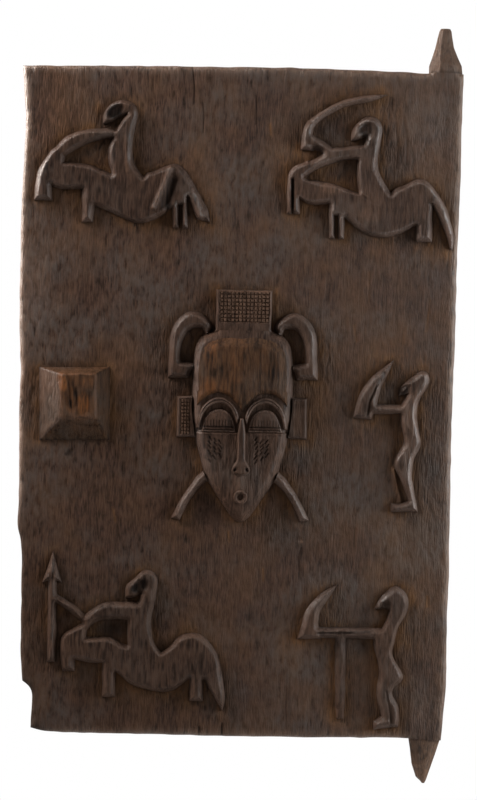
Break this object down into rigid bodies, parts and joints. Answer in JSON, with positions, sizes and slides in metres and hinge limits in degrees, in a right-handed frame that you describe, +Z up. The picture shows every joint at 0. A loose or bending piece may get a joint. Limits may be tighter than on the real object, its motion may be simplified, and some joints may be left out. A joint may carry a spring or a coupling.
{
  "type": "carved granary door",
  "caption": "Hewn wooden granary door leaf that swings on pintles at its hinge edge, carved in relief with a horned mask, riders, walking figures and a raised lock boss.",
  "frame": {"origin": "centre of the flat tip of the lower pintle, on the pivot line", "axes": "+Z up along the pivot line through both pintles, -Y out of the carved front, +X from the latch edge towards the hinge edge"},
  "size_m": [0.44, 0.0526, 0.756],
  "materials": {
    "dark_patinated_wood": "hewn hardwood, darkened and polished by handling and smoke",
    "worn_wood": "the same wood, rubbed to a warmer brown on its high places"
  },
  "bodies": {
    "root": {"plank": "dark_patinated_wood", "upper_pintle": "dark_patinated_wood", "lower_pintle": "dark_patinated_wood", "lock_boss": "worn_wood", "mask_face": "dark_patinated_wood", "mask_forehead": "worn_wood", "mask_crest": "dark_patinated_wood", "mask_left_horn": "dark_patinated_wood", "mask_right_horn": "dark_patinated_wood", "mask_left_ear": "dark_patinated_wood", "mask_right_ear": "dark_patinated_wood", "mask_left_leg": "dark_patinated_wood", "mask_right_leg": "dark_patinated_wood", "mask_left_brow": "dark_patinated_wood", "mask_right_brow": "dark_patinated_wood", "mask_left_eyelid": "dark_patinated_wood", "mask_right_eyelid": "dark_patinated_wood", "mask_nose": "dark_patinated_wood", "mask_mouth": "dark_patinated_wood", "upper_left_rider": "dark_patinated_wood", "upper_left_horse": "dark_patinated_wood", "upper_right_blade": "dark_patinated_wood", "upper_right_rider": "dark_patinated_wood", "upper_right_horse": "dark_patinated_wood", "lower_left_spear": "dark_patinated_wood", "lower_left_rider": "dark_patinated_wood", "lower_left_horse": "dark_patinated_wood", "middle_right_blade": "dark_patinated_wood", "middle_right_figure": "dark_patinated_wood", "lower_right_blade": "dark_patinated_wood", "lower_right_figure": "dark_patinated_wood", "lower_right_post": "dark_patinated_wood"}
  },
  "joints": []
}
